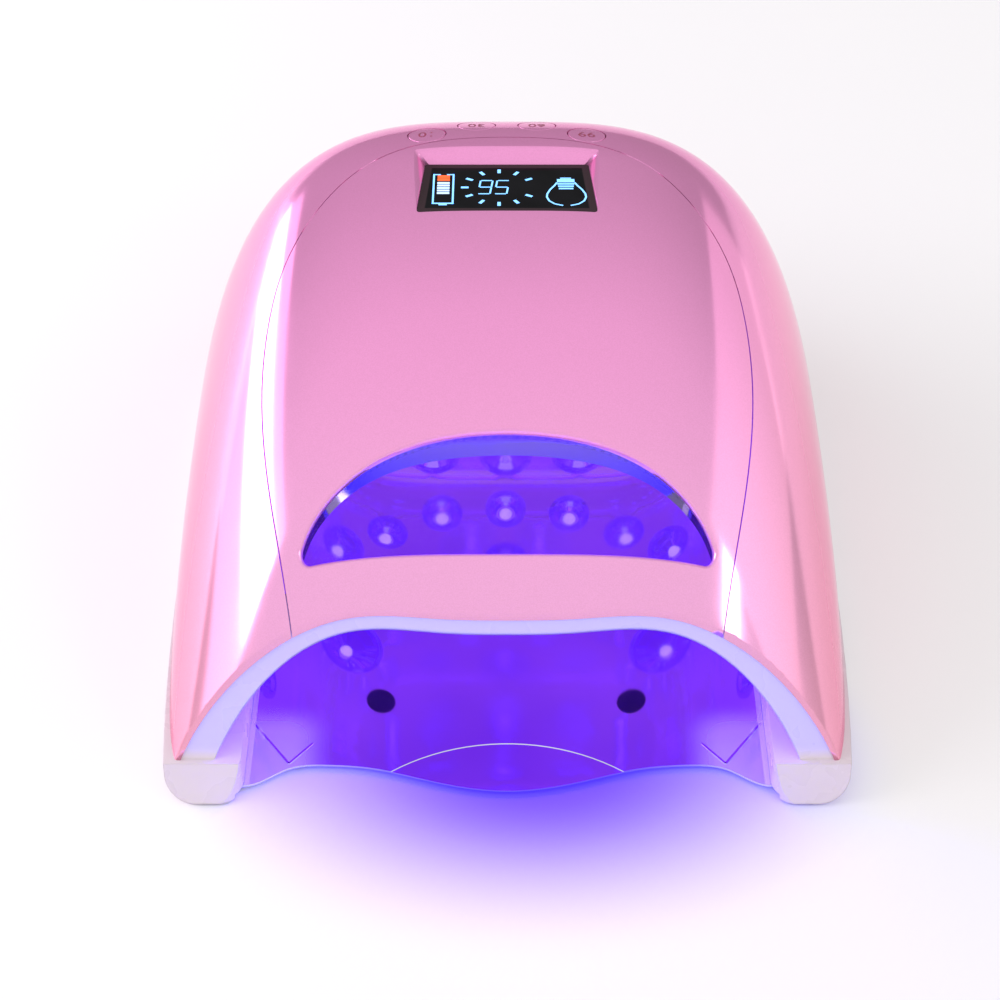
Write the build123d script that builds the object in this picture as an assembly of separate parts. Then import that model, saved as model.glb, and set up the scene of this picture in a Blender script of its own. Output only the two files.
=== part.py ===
from build123d import *
import math
import os

# Cordless UV LED nail lamp, in millimetres.
# X is to the right, -Y is the hand opening, +Z is up. Z = 0 is the table, X = 0 the symmetry plane.

# --- Outer body: arches |x/w|^p + (z/h)^q = 1 whose half width and height change along Y -------------
BODY_HALF_W = 111.0
BODY_HEIGHT = 122.0
BODY_ARCH = (3.4, 2.0)          # p and q of the arch
BACK_Y = 126.0                  # flat rear face
BACK_POLE_Y = 128.5             # where the rounded back would close without the flat
WIDEST_Y = 14.0
CROWN_Y = 48.0
NOSE_Y = -114.0
NOSE_HEIGHT = 46.5
NOSE_CURVE = 2.6
BACK_CURVE_PLAN = 3.3
BACK_CURVE_SIDE = 2.55
FRONT_TAPER = 0.035
LOFT_FRONT_Y = -134.0
SHELL = 2.4                     # wall of the pink mouldings
FIT = 0.3                       # gap between the mouldings and what sits inside them
RIM = 1.5                       # wall at the hand opening, where the frame's lip lies under it
SHELL_BOTTOM_Z = 13.5

# --- Hand opening ---------------------------------------------------------------------------------------
BASE_Z = 0.8                    # underside of the frame, above the table
FOOT_FRONT_Y = -126.0
MOUTH_LEAN = 23.1               # degrees from vertical
LIP_RECESS = 0.5
LIP_DEPTH = 6.0
MOUTH_LINE = [(0, -0.9), (20, -0.7), (48, 0.6), (75, 1.0), (95, 1.3), (150, 1.3)]   # x, set back

# --- Curing chamber -------------------------------------------------------------------------------------
CHAMBER_HALF_W = 94.0
CHAMBER_ARCH = (4.0, 2.0)
CHAMBER_GAP = 4.6               # from the outside of the body to the chamber, where they run together
CEILING_Z = 90.0                # at CEILING_Y, falling towards the back
CEILING_Y = -55.0
CEILING_FALL = 0.093
CHAMBER_BACK_Y = 100.0
CHAMBER_POLE_Y = 106.0
LINER = 1.5

# --- Parting seam of the front cover, right half, from front to back -----------------------------------
SEAM = [(62.5, -140), (66.5, -98), (72.9, -69), (77.1, -36), (76.3, -7), (72.5, 14),
        (61.5, 37), (47.7, 52.5), (26, 63.3)]
SEAM_BACK_Y = 66.5
SEAM_CENTRE_Y = -40.0
SEAM_GAP = 0.4

# --- Half-moon window -----------------------------------------------------------------------------------
WINDOW_HALF_W = 63.3
WINDOW_RISE = 31.0
WINDOW_CENTRE_Y = -89.6
WINDOW_CHORD_Y = -87.8
WINDOW_CORNER = 3.0
BEZEL = 1.3

# --- Display recess -------------------------------------------------------------------------------------
DISPLAY_FRONT = (22.0, 120.9)   # y and z where the lens meets the surface
DISPLAY_TILT = 5.8
DISPLAY_DEPTH = 33.0
DISPLAY_HALF_W = (29.5, 27.5)   # front edge, back edge
DISPLAY_GLASS = 1.2
RECESS_HEIGHT = 8.0

# --- Buttons --------------------------------------------------------------------------------------------
BUTTONS = [(-27.3, 70.4), (-10.4, 79.3), (10.4, 79.3), (27.3, 70.4)]
BUTTON_R = 6.4
BUTTON_HOLE_R = 6.75
BUTTON_FLANGE_R = 7.3
BUTTON_DEPTH = 5.4
BUTTON_TILT = 12.0
PAD_GAP = 1.0                   # half of it is the travel of a button
BUTTON_BOARD_TOP = -12.8
KEY_PLANE = (75.0, 118.5)       # y and z of the middle of the button group

# --- LEDs on the arch of the chamber: turn round the arch in degrees, y, cup radius ----------------------
ROOF_LEDS = [(90, 88, 7), (74, 86, 7), (62, 75, 7), (55.5, 14, 12), (90, 64, 7), (52, 62, 8)]
SIDE_ROWS = [(30, (-62, -30, 2, 34, 66)), (17.5, (-78, -46, -14, 18, 50, 80))]
SIDE_LED_R = 8
BACK_LEDS = [(0, 55), (29, 54), (14, 29), (46, 30)]
BACK_LED_R = 9.5
SENSOR = (62.7, -9.5)           # turn and y of the right-hand sensor window
SENSOR_R = 5.5

# --- Power, ports, handle --------------------------------------------------------------------------------
CELL_R = 9.25
CELL_LENGTH = 65.0
CELL_PITCH = 19.6
CELL_Z = 99.6
CELL_Y = -8.0
PANEL_SIZE = (46.0, 20.0)
PANEL_Z = 29.5
JACK_X = -12.0
ROCKER_X = 11.0
ROCKER_SWING = 7.0              # degrees either side of level
HANDLE_SIZE = (92.0, 22.0)
HANDLE_Z = 84.0
HANDLE_FLOOR_Y = 99.0

# --- Base -------------------------------------------------------------------------------------------------
RAIL_ROUND = 9.0
RAIL_INNER_X = 82.5
RAIL_NOSE_R = 8.0               # rounding of the rail's inner front corner, seen from above
RAIL_BACK_R = 20.0              # rounding of the opening's back corners
PLATE_Z = 1.4
PLATE_T = 0.8
PLATE_HALF_W = 84.6
PLATE_RECESS = (84.9, 2.6)      # half width and height under the frame
PLATE_BACK_Y = 99.0
PLATE_EDGE = [(84.6, -119.5), (80, -119), (69, -112.5), (57, -111), (42, -112.5), (24, -117.5)]
PLATE_NOSE_Y = -121.5
SCREW_SPOTS = [(100.0, -66.0), (100.5, 0.0), (99.5, 62.0)]
BOSS_TOP_Z = 30.0
TONGUE = 4.0                    # height of the frame's locating edge inside the shell
FOOT_SPOTS = [(94.0, -104.0), (92.7, 84.0)]
FOOT_R = 4.5
FOOT_TOP = 2.2
MAGNET_SPOTS = [(85.2, -96.0), (85.2, -20.0), (85.2, 56.0)]
MAGNET_R = 2.5
CHANNEL_FLOOR_Z = 5.2


def unit_arch(p, q, count=24):
    """Points of |x|^p + z^q = 1 at even turns, from +x over the crown to -x."""
    points = []
    for step in range(count + 1):
        points.append(arch_at(180.0 * step / count, p, q))
    return points


def arch_at(turn, p, q):
    """The point of the unit arch in the direction of a turn in degrees."""
    c = math.cos(math.radians(turn))
    s = math.sin(math.radians(turn))
    low, high = 0.5, 1.6
    for _ in range(50):
        middle = (low + high) / 2
        if abs(middle * c) ** p + abs(middle * s) ** q > 1:
            high = middle
        else:
            low = middle
    return low * c, max(0.0, low * s) if 0 < turn < 180 else 0.0


def body_half_width(y, inset=0.0):
    width = BODY_HALF_W - inset
    if y <= WIDEST_Y:
        return width * (1 - FRONT_TAPER * ((WIDEST_Y - y) / (WIDEST_Y - NOSE_Y)) ** 3)
    reach = (y - WIDEST_Y) / (BACK_POLE_Y - inset - WIDEST_Y)
    return width * (1 - reach ** BACK_CURVE_PLAN) ** (1 / BACK_CURVE_PLAN)


def body_height(y, inset=0.0):
    if y <= CROWN_Y:
        drop = (BODY_HEIGHT - NOSE_HEIGHT) * ((CROWN_Y - y) / (CROWN_Y - NOSE_Y)) ** NOSE_CURVE
        return BODY_HEIGHT - inset - drop
    reach = (y - CROWN_Y) / (BACK_POLE_Y - inset - CROWN_Y)
    return (BODY_HEIGHT - inset) * (1 - reach ** BACK_CURVE_SIDE) ** (1 / BACK_CURVE_SIDE)


def body_z(x, y):
    p, q = BODY_ARCH
    return body_height(y) * (1 - abs(x / body_half_width(y)) ** p) ** (1 / q)


def chamber_half_width(y, grow=0.0):
    reach = max(0.0, (y - WIDEST_Y) / (CHAMBER_POLE_Y + grow - WIDEST_Y))
    return (CHAMBER_HALF_W + grow) * (1 - reach ** 6) ** (1 / 6)


def chamber_height(y, grow=0.0):
    """The lower of the body's own line and the falling ceiling, blended smoothly, closed at the back."""
    under_body = body_height(min(y, CROWN_Y)) - CHAMBER_GAP
    ceiling = CEILING_Z - CEILING_FALL * (y - CEILING_Y)
    blended = (under_body ** -12 + ceiling ** -12) ** (-1 / 12)
    reach = max(0.0, (y - CROWN_Y) / (CHAMBER_POLE_Y + grow - CROWN_Y))
    return (blended + grow) * (1 - reach ** 5) ** (1 / 5)


def arch_loft(stations, half_width, height, arch):
    """A closed solid through arches standing at the given y stations."""
    outline = unit_arch(*arch)
    steps = [index / (len(outline) - 1) for index in range(len(outline))]
    sections = []
    for y in stations:
        w = half_width(y)
        h = height(y)
        points = [Vector(w * x, y, h * z) for x, z in outline]
        crown = Edge.make_spline(points, parameters=steps)
        sections.append(Wire([crown, Edge.make_line(points[-1], points[0])]))
    return Solid.make_loft(sections)


def stations_to(back_y):
    """Stations that crowd towards the back, where the body closes."""
    even = [LOFT_FRONT_Y + 14.0 * index for index in range(15)]
    tail = [76, 88, 98, 106, 112, 117, 121]
    return [y for y in even + tail if y < back_y - 1.5] + [back_y]


def body_solid(inset=0.0):
    stations = stations_to(BACK_Y - inset)
    return arch_loft(stations, lambda y: body_half_width(y, inset), lambda y: body_height(y, inset), BODY_ARCH)


def chamber_solid(grow=0.0):
    stations = stations_to(CHAMBER_BACK_Y + grow)
    return arch_loft(stations, lambda y: chamber_half_width(y, grow),
                     lambda y: chamber_height(y, grow), CHAMBER_ARCH)


def yz_prism(points, half_width):
    """A prism across X from an outline in Y and Z."""
    face = make_face(Polyline(*points, close=True))
    return extrude(Plane.YZ * face, amount=half_width, both=True)


def mouth_y(z, back=0.0):
    return FOOT_FRONT_Y + back + math.tan(math.radians(MOUTH_LEAN)) * (z - BASE_Z)


def mouth_cutter(back=0.0):
    """All that lies in front of the leaning plane of the hand opening, moved back by a distance."""
    low, high = -20.0, 160.0
    return yz_prism([(mouth_y(low, back), low), (mouth_y(high, back), high), (-300, high), (-300, low)], 150)


def brim_cutter(back=0.0):
    """As mouth_cutter, with the slight wave that the edge of the housing has across the opening."""
    points = [(x, line + back) for x, line in MOUTH_LINE]
    wave = [(-x, line) for x, line in reversed(points[1:])] + points
    lean = math.radians(MOUTH_LEAN)
    plane = Plane(origin=(0, FOOT_FRONT_Y, BASE_Z), x_dir=(1, 0, 0), z_dir=(0, math.sin(lean), math.cos(lean)))
    front = Polyline(wave[-1], (wave[-1][0], -200), (wave[0][0], -200), wave[0])
    return extrude(plane * make_face([Spline(*wave), front]), amount=200, both=True)


def slab(z_low, z_high):
    return Pos(0, 0, (z_low + z_high) / 2) * Box(300, 320, z_high - z_low)


def window_prism(grow=0.0, z_low=0.0, z_high=150.0):
    """The half-moon window seen from above, as a vertical prism."""
    ellipse = Pos(0, WINDOW_CENTRE_Y) * Ellipse(WINDOW_HALF_W + grow, WINDOW_RISE + grow)
    keep = Pos(0, WINDOW_CHORD_Y - grow + 50) * Rectangle(200, 100)
    face = ellipse & keep
    corners = face.vertices().sort_by(Axis.X)
    face = fillet([corners[0], corners[-1]], WINDOW_CORNER + grow)
    return extrude(Pos(0, 0, z_low) * face, amount=z_high - z_low)


def seam_prism(grow=0.0):
    """The region of the front cover seen from above."""
    spots = SEAM + [(0, SEAM_BACK_Y)] + [(-x, y) for x, y in reversed(SEAM)]
    points = []
    for x, y in spots:
        away = math.hypot(x, y - SEAM_CENTRE_Y)
        points.append((x + grow * x / away, y + grow * (y - SEAM_CENTRE_Y) / away))
    edge = Spline(*points)
    return extrude(make_face([edge, Line(points[-1], points[0])]), amount=150)


def mirrored(spots):
    return [(sx * x, y) for x, y in spots for sx in (1, -1)]


def display_plane():
    y, z = DISPLAY_FRONT
    return Plane(origin=(0, y, z)).rotated((-DISPLAY_TILT, 0, 0))


def recess_solid(grow=0.0, drop=0.0):
    """The display recess: a floor on the display plane and walls that flare by 45 degrees."""
    front, back = DISPLAY_HALF_W
    low = [(-front - grow, -grow), (front + grow, -grow),
           (back + grow, DISPLAY_DEPTH + grow), (-back - grow, DISPLAY_DEPTH + grow)]
    flare = RECESS_HEIGHT
    high = [(-front - grow - flare, -grow - 1), (front + grow + flare, -grow - 1),
            (back + grow + flare, DISPLAY_DEPTH + grow + flare),
            (-back - grow - flare, DISPLAY_DEPTH + grow + flare)]
    plane = display_plane()
    faces = []
    for outline, level in ((low, -drop), (high, RECESS_HEIGHT)):
        face = make_face(Polyline(*outline, close=True))
        face = fillet(face.vertices(), 1.5)
        faces.append(plane * Pos(0, 0, level) * face)
    return loft(faces, ruled=True)


def glass_outline(inset):
    front, back = DISPLAY_HALF_W
    outline = [(-front + inset, inset), (front - inset, inset),
               (back - inset, DISPLAY_DEPTH - inset), (-back + inset, DISPLAY_DEPTH - inset)]
    return fillet(make_face(Polyline(*outline, close=True)).vertices(), 1.2)


def key_plane():
    y, z = KEY_PLANE
    return Plane(origin=(0, y, z)).rotated((-BUTTON_TILT, 0, 0))


def key_spot(x, y):
    """Where the axis of a button crosses the key plane, in that plane's own x and y."""
    return x, (y - KEY_PLANE[0]) / math.cos(math.radians(BUTTON_TILT))


def key_cylinder(spot, radius, low, high):
    u, v = key_spot(*spot)
    return key_plane() * Pos(u, v, (low + high) / 2) * Cylinder(radius, high - low)


def chamber_plane(turn, y):
    """A plane on the chamber's arch whose z axis points out of the chamber."""
    def point(angle, at_y):
        x, z = arch_at(angle, *CHAMBER_ARCH)
        return Vector(chamber_half_width(at_y) * x, at_y, chamber_height(at_y) * z)
    here = point(turn, y)
    round_arch = point(turn + 0.5, y) - point(turn - 0.5, y)
    along = point(turn, y + 0.5) - point(turn, y - 0.5)
    return Plane(origin=here, x_dir=along, z_dir=along.cross(round_arch))


def led_places():
    """Every LED as its plane, z axis out of the chamber, and the radius of its cup."""
    places = []
    for turn, y, radius in ROOF_LEDS:
        places.append((chamber_plane(turn, y), radius))
        if turn != 90:
            places.append((chamber_plane(180 - turn, y), radius))
    for turn, row in SIDE_ROWS:
        for y in row:
            places.append((chamber_plane(turn, y), SIDE_LED_R))
            places.append((chamber_plane(180 - turn, y), SIDE_LED_R))
    for x, z in BACK_LEDS:
        for side in ((1, -1) if x else (1,)):
            wall = Plane(origin=(side * x, CHAMBER_BACK_Y, z), x_dir=(1, 0, 0), z_dir=(0, 1, 0))
            places.append((wall, BACK_LED_R))
    return places


def sensor_planes():
    turn, y = SENSOR
    return [chamber_plane(turn, y), chamber_plane(180 - turn, y)]


def save(shape, node):
    export_step(shape, "parts/" + node + ".step")


def group(solids):
    return Compound(children=list(solids))


# --- Housing ---------------------------------------------------------------------------------------------
def on_outside(spot):
    return abs(spot.X) < BODY_HALF_W - 1 and abs(spot.Z - body_z(spot.X, spot.Y)) < 0.2


def at_window(spot):
    return abs(spot.X) < WINDOW_HALF_W and WINDOW_CHORD_Y - 1 < spot.Y < WINDOW_CENTRE_Y + WINDOW_RISE + 1


def at_mouth(spot):
    return abs(spot.Y - mouth_y(spot.Z)) < 2.5 and spot.Z > SHELL_BOTTOM_Z + 1


def shell_wall():
    """The whole pink wall, with the window cut and its edges rounded, before it is parted."""
    wall = body_solid() - body_solid(SHELL) - brim_cutter()
    wall = (wall & slab(SHELL_BOTTOM_Z, 140)) - window_prism()
    window_edges = [edge for edge in wall.edges() if on_outside(edge @ 0.5) and at_window(edge @ 0.5)]
    wall = fillet(window_edges, 1.6)
    mouth_edges = [edge for edge in wall.edges() if on_outside(edge @ 0.5) and at_mouth(edge @ 0.5)]
    wall = fillet(mouth_edges, 1.2)
    return wall - (body_solid(RIM) & brim_cutter(LIP_DEPTH + FIT))


def front_cover(wall):
    cover = wall & seam_prism(-SEAM_GAP / 2)
    tray = body_solid() & recess_solid(grow=2.0, drop=3.0) & seam_prism(-SEAM_GAP / 2)
    cover = (cover + tray) - recess_solid()
    plane = display_plane()
    seat = extrude(plane * glass_outline(0.0), amount=-DISPLAY_GLASS)
    aperture = extrude(plane * glass_outline(4.0), amount=-8)
    return cover - seat - aperture


def handle_prism(grow=0.0):
    width, height = HANDLE_SIZE
    face = RectangleRounded(width + 2 * grow, height + 2 * grow, 9 + grow)
    floor = Plane(origin=(0, HANDLE_FLOOR_Y - grow, HANDLE_Z), x_dir=(-1, 0, 0), z_dir=(0, 1, 0))
    return extrude(floor * face, amount=60)


def shell_boss(x, y):
    """A screw boss with a rib out to the side wall."""
    side = math.copysign(1, x)
    rib_low = SHELL_BOTTOM_Z + TONGUE + FIT
    boss = Pos(x, y, (SHELL_BOTTOM_Z + BOSS_TOP_Z) / 2) * Cylinder(4, BOSS_TOP_Z - SHELL_BOTTOM_Z)
    rib = Pos(x + side * 8, y, (rib_low + BOSS_TOP_Z) / 2) * Box(16, 2, BOSS_TOP_Z - rib_low)
    return (boss + rib) & body_solid(SHELL / 2)


def outer_shell(wall):
    shell = wall - seam_prism(SEAM_GAP / 2)
    for spot in BUTTONS:
        shell -= key_cylinder(spot, BUTTON_HOLE_R, -10, 10)
    shell -= handle_prism()
    width, height = PANEL_SIZE
    shell -= Pos(0, BACK_Y, PANEL_Z) * Box(width, 10, height)
    for index in range(6):
        for side in (1, -1):
            shell -= Pos(side * (32 + 6 * index), BACK_Y - 12, 27) * Box(2.4, 40, 18)
    for x, y in mirrored(SCREW_SPOTS):
        shell += shell_boss(x, y)
        shell -= Pos(x, y, 16) * Cylinder(1.5, 20)
    return shell


def handle_cup():
    return (handle_prism(2.0) & body_solid(SHELL)) - handle_prism()


# --- Frame and base ------------------------------------------------------------------------------------------
def plan_outline():
    ys = stations_to(BACK_Y)
    right = [(body_half_width(y), y) for y in ys]
    left = [(-x, y) for x, y in reversed(right)]
    return make_face([Spline(*right), Line(right[-1], left[0]), Spline(*left), Line(left[-1], right[0])])


def base_ring():
    ring = extrude(Pos(0, 0, BASE_Z) * plan_outline(), amount=SHELL_BOTTOM_Z - BASE_Z)
    low = ring.edges().filter_by(lambda edge: (edge @ 0.5).Z < BASE_Z + 0.01 and (edge @ 0.5).Y > -130)
    return fillet(low, RAIL_ROUND)


def rail_opening():
    """The floor opening between the rails, with the rails' inner front corners rounded in plan."""
    tall = 40
    length = 260
    opening = Pos(0, CHAMBER_BACK_Y - length / 2, 0) * Box(2 * RAIL_INNER_X, length, tall)
    opening = fillet(opening.edges().filter_by(Axis.Z).sort_by(Axis.Y)[-2:], RAIL_BACK_R)
    for side in (1, -1):
        x = side * (RAIL_INNER_X + RAIL_NOSE_R)
        y = FOOT_FRONT_Y + RAIL_NOSE_R
        square = Pos(x - side * RAIL_NOSE_R / 2, y - RAIL_NOSE_R, 0) * Box(RAIL_NOSE_R, 2 * RAIL_NOSE_R, tall)
        opening += square - Pos(x, y, 0) * Cylinder(RAIL_NOSE_R, tall)
    return opening


def inner_frame():
    half_width, height = PLATE_RECESS
    chamber = chamber_solid()
    inside = body_solid(SHELL + FIT)
    ring = base_ring() - rail_opening() - mouth_cutter()
    tongue = (inside - body_solid(SHELL + FIT + 1.8)) & slab(SHELL_BOTTOM_Z, SHELL_BOTTOM_Z + TONGUE)
    channel = body_solid(SHELL + FIT + 1.8) - chamber_solid(LINER + 0.7) - mouth_cutter(LIP_DEPTH)
    lip = ((body_solid(RIM + 0.1) & brim_cutter(LIP_DEPTH)) & slab(SHELL_BOTTOM_Z, 140)) - chamber
    frame = ring - (channel & slab(CHANNEL_FLOOR_Z, SHELL_BOTTOM_Z + 2))
    frame = frame + (((tongue - brim_cutter(LIP_DEPTH)) + lip) - brim_cutter(LIP_RECESS))
    frame -= Pos(0, PLATE_BACK_Y / 2 - 70, height / 2) * Box(2 * half_width, PLATE_BACK_Y + 143, height)
    for x, y in mirrored(SCREW_SPOTS):
        frame += Pos(x, y, (BASE_Z + SHELL_BOTTOM_Z) / 2) * Cylinder(4.4, SHELL_BOTTOM_Z - BASE_Z)
        frame -= Pos(x, y, BASE_Z) * Cylinder(3.1, 6)
        frame -= Pos(x, y, 5) * Cylinder(1.5, 20)
    for x, y in mirrored(FOOT_SPOTS):
        frame -= Pos(x, y, FOOT_TOP - 2) * Cylinder(FOOT_R, 4)
    for x, y in mirrored(MAGNET_SPOTS):
        frame -= Pos(x, y, height + 1) * Cylinder(MAGNET_R, 2)
    return frame


def rubber_feet():
    return group(Pos(x, y, FOOT_TOP / 2) * Cylinder(FOOT_R, FOOT_TOP) for x, y in mirrored(FOOT_SPOTS))


def plate_magnets():
    level = PLATE_RECESS[1] + 1
    return group(Pos(x, y, level) * Cylinder(MAGNET_R, 2) for x, y in mirrored(MAGNET_SPOTS))


def shell_screws():
    screws = []
    for x, y in mirrored(SCREW_SPOTS):
        head = Pos(x, y, 2.9) * Cylinder(2.9, 1.8) - Pos(x, y, 2.2) * Box(3.4, 0.8, 1.2)
        screws.append(head + Pos(x, y, 11) * Cylinder(1.5, 16))
    return group(screws)


def base_plate():
    """Thin mirror plate with a waved front edge and a shallow crescent step behind it."""
    right = PLATE_EDGE
    left = [(-x, y) for x, y in right]
    back = PLATE_BACK_Y
    front = Spline(*right, (0, PLATE_NOSE_Y), *reversed(left))
    frame = Polyline(left[0], (left[0][0], back), (right[0][0], back), right[0])
    plate = extrude(Pos(0, 0, PLATE_Z) * make_face([front, frame]), amount=PLATE_T)
    corners = plate.edges().filter_by(Axis.Z).sort_by(Axis.Y)[-2:]
    plate = fillet(corners, 8)
    arc = ThreePointArc((-42, -118), (0, -102), (42, -118))
    crescent = make_face([arc, Polyline((42, -118), (42, -126), (-42, -126), (-42, -118))])
    return plate - extrude(Pos(0, 0, PLATE_Z + PLATE_T - 0.25) * crescent, amount=2)


# --- Chamber ---------------------------------------------------------------------------------------------------
def reflector():
    liner = chamber_solid(LINER) - chamber_solid() - brim_cutter(LIP_DEPTH + FIT)
    liner = (liner & slab(SHELL_BOTTOM_Z, 140)) - window_prism(BEZEL + 0.05)
    for plane, radius in led_places():
        liner -= plane * Pos(0, 0, 1.5) * Cylinder(radius + 0.02, 9)
        liner -= plane * Pos(0, 0, -1.98) * Cylinder(radius + 1.25, 4)
    for plane in sensor_planes():
        liner -= plane * Pos(0, 0, 1.5) * Cylinder(SENSOR_R + 0.02, 9)
    return liner


def led_cup(radius):
    """A stepped bowl with a raised rim that stands in its hole in the liner; z axis out of the chamber."""
    outline = [(radius + 1.2, -0.6), (radius + 1.2, 0), (radius, 0), (radius, 1.5), (3.8, 4.8),
               (2.6, 4.8), (2.6, 4.0), (radius * 0.62, 2.2), (radius * 0.62, 1.8), (radius - 0.9, 0.6),
               (radius - 0.4, -0.6)]
    return revolve(Plane.XZ * make_face(Polyline(*outline, close=True)), axis=Axis.Z)


def at_leds(piece):
    return group(plane * piece for plane, _ in led_places())


def led_cups():
    return group(plane * led_cup(radius) for plane, radius in led_places())


def led_lenses():
    return at_leds((Sphere(2.4) & Pos(0, 0, -2.5) * Box(6, 6, 5)).moved(Location((0, 0, 4.8))))


def led_emitters():
    return at_leds(Pos(0, 0, 5.4) * Box(5, 5, 1.2))


def led_star_boards():
    star = extrude(RegularPolygon(6.0, 6), amount=1.2).moved(Location((0, 0, 6.0)))
    for index in range(6):
        star -= Rot(0, 0, 60 * index + 30) * Pos(5.6, 0, 6.6) * Cylinder(0.9, 2)
    return at_leds(star)


def sensor_windows():
    disc = Pos(0, 0, 0.6) * Cylinder(SENSOR_R, 1.8)
    return group(plane * disc for plane in sensor_planes())


def sensor_boards():
    board = Pos(0, 0, 3.3) * Box(14, 10, 1.2) + Pos(2.2, 0, 2.1) * Cylinder(1.5, 1.2)
    board += Pos(-2.2, 0, 2.1) * Cylinder(1.5, 1.2)
    return group(plane * board for plane in sensor_planes())


def window_bezel():
    ring = window_prism(BEZEL) - window_prism(0.0)
    return (ring & body_solid(SHELL)) - chamber_solid()


def window_lens():
    return (body_solid(SHELL + 0.1) - body_solid(SHELL + 1.5)) & window_prism(0.0)


# --- Display and buttons ----------------------------------------------------------------------------------------
def display_lens():
    return extrude(display_plane() * glass_outline(0.1), amount=-DISPLAY_GLASS)


def display_box(width, depth, low, high):
    return display_plane() * Pos(0, DISPLAY_DEPTH / 2, (low + high) / 2) * Box(width, depth, high - low)


def display_module():
    core = extrude(display_plane() * Pos(0, 0, -DISPLAY_GLASS) * glass_outline(4.3), amount=-2.0)
    return core + display_box(54, 29, -6.0, -3.2)


def display_board():
    return display_box(60, 32, -7.4, -6.0)


def button(spot):
    low = -BUTTON_DEPTH
    cap = key_cylinder(spot, BUTTON_R, low, 4) & body_solid()
    cap = fillet(cap.edges().filter_by(lambda edge: (edge @ 0.5).Z > 115.5).sort_by(Axis.Z)[-1:], 0.3)
    return cap + key_cylinder(spot, BUTTON_FLANGE_R, low, low + 0.8)


def key_box(width, depth, top, height):
    return key_plane() * Pos(0, 0, top - height / 2) * Box(width, depth, height)


def button_pad():
    top = -BUTTON_DEPTH - PAD_GAP
    pad = key_box(74, 26, top - 1.9, 0.8)
    for spot in BUTTONS:
        pad += key_cylinder(spot, 3.6, top - 2, top)
    return pad


def tact_switches():
    top = -BUTTON_DEPTH - PAD_GAP - 2.7
    return group(key_plane() * Pos(*key_spot(*spot), top - 1.85) * Box(6, 6, 3.7) for spot in BUTTONS)


def button_board():
    return key_box(84, 26, BUTTON_BOARD_TOP, 1.6)


def board_pillars():
    """Four posts that hang the button board from the inside of the shell."""
    inside = body_solid(SHELL)
    pillars = []
    for x in (-39.5, 39.5):
        for v in (-10, 10):
            post = key_plane() * Pos(x, v, BUTTON_BOARD_TOP + 10) * Cylinder(2.2, 20)
            pillars.append(post & inside)
    return group(pillars)


# --- Electronics -------------------------------------------------------------------------------------------------
def battery_cells():
    cells = []
    for index in range(4):
        x = CELL_PITCH * (index - 1.5)
        can = Pos(x, CELL_Y + CELL_LENGTH / 2, CELL_Z) * Rot(90, 0, 0) * Cylinder(CELL_R, CELL_LENGTH)
        cells.append(fillet(can.edges(), 0.8))
    return group(cells)


def battery_cradle():
    low = CELL_Z - CELL_R
    length = CELL_LENGTH + 6
    middle = CELL_Y + CELL_LENGTH / 2
    cradle = Pos(0, middle, low + 1.2) * Box(4 * CELL_PITCH + 3, length, 5.4)
    for index in range(4):
        x = CELL_PITCH * (index - 1.5)
        trough = Pos(x, middle, CELL_Z) * Rot(90, 0, 0) * Cylinder(CELL_R + 0.05, CELL_LENGTH + 0.1)
        cradle -= trough
    return cradle


def main_board():
    return Pos(0, 78, 92.8) * Box(92, 32, 1.6)


def board_components():
    pieces = [Pos(-34, 78, 97) * Cylinder(5, 6.8), Pos(-22, 78, 97) * Cylinder(5, 6.8),
              Pos(30, 80, 96) * Box(12, 12, 4.8), Pos(14, 78, 94.4) * Box(9, 9, 1.6),
              Pos(0, 72, 95.1) * Box(8, 5, 3.0), Pos(30, 68, 94.4) * Box(5, 6, 1.6)]
    return group(pieces)


def board_screws():
    screws = []
    for x in (-42, 42):
        for y in (66, 90):
            screws.append(Pos(x, y, 94.35) * Cylinder(2.5, 1.5) - Pos(x, y, 95) * Box(3, 0.6, 1))
    return group(screws)


def display_ribbon():
    """Flat ribbon from the display board down to the main board, in a stepped fold."""
    spine = [(46, 110.2), (53.5, 109.3), (58.4, 109.0), (58.6, 98), (60.5, 95.4), (70, 95.4)]
    back = [(y + 0.3, z + 0.4) for y, z in reversed(spine)]
    return Pos(26, 0, 0) * yz_prism(spine + back, 6)


def battery_lead():
    leads = []
    for x in (-3.0, 3.0):
        path = FilletPolyline((x, 60.2, 98.5), (x, 66, 98.5), (x, 66, 99.8), (x, 71, 99.8),
                              (x, 71, 96.6), radius=0.6)
        start = Plane(origin=path @ 0, z_dir=path % 0)
        leads.append(sweep(start * Circle(0.8), path=path))
    return group(leads)


# --- Rear ports ----------------------------------------------------------------------------------------------------
def rear_box(x, width, height, y_low, y_high):
    return Pos(x, (y_low + y_high) / 2, PANEL_Z) * Box(width, y_high - y_low, height)


def rear_panel():
    width, height = PANEL_SIZE
    panel = rear_box(0, width - 0.2, height - 0.2, 123.0, 124.2)
    panel += rear_box(0, width + 4, height + 4, 121.9, 123.4)
    panel -= rear_box(ROCKER_X, 15.2, 17.2, 110, 130)
    return panel - Pos(JACK_X, 120, PANEL_Z) * Rot(90, 0, 0) * Cylinder(4.1, 20)


def rocker_housing():
    case = rear_box(ROCKER_X, 15, 17, 113, 124.2) + rear_box(ROCKER_X, 17, 19, 124.2, 125.2)
    case -= rear_box(ROCKER_X, 12, 14.6, 115, 130)
    for side in (1, -1):
        case += rear_box(ROCKER_X + side * 4, 1, 5, 108, 113)
    pivot = Pos(ROCKER_X, 122.2, PANEL_Z) * Rot(0, 90, 0) * Cylinder(1.05, 14)
    return case - pivot


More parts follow.
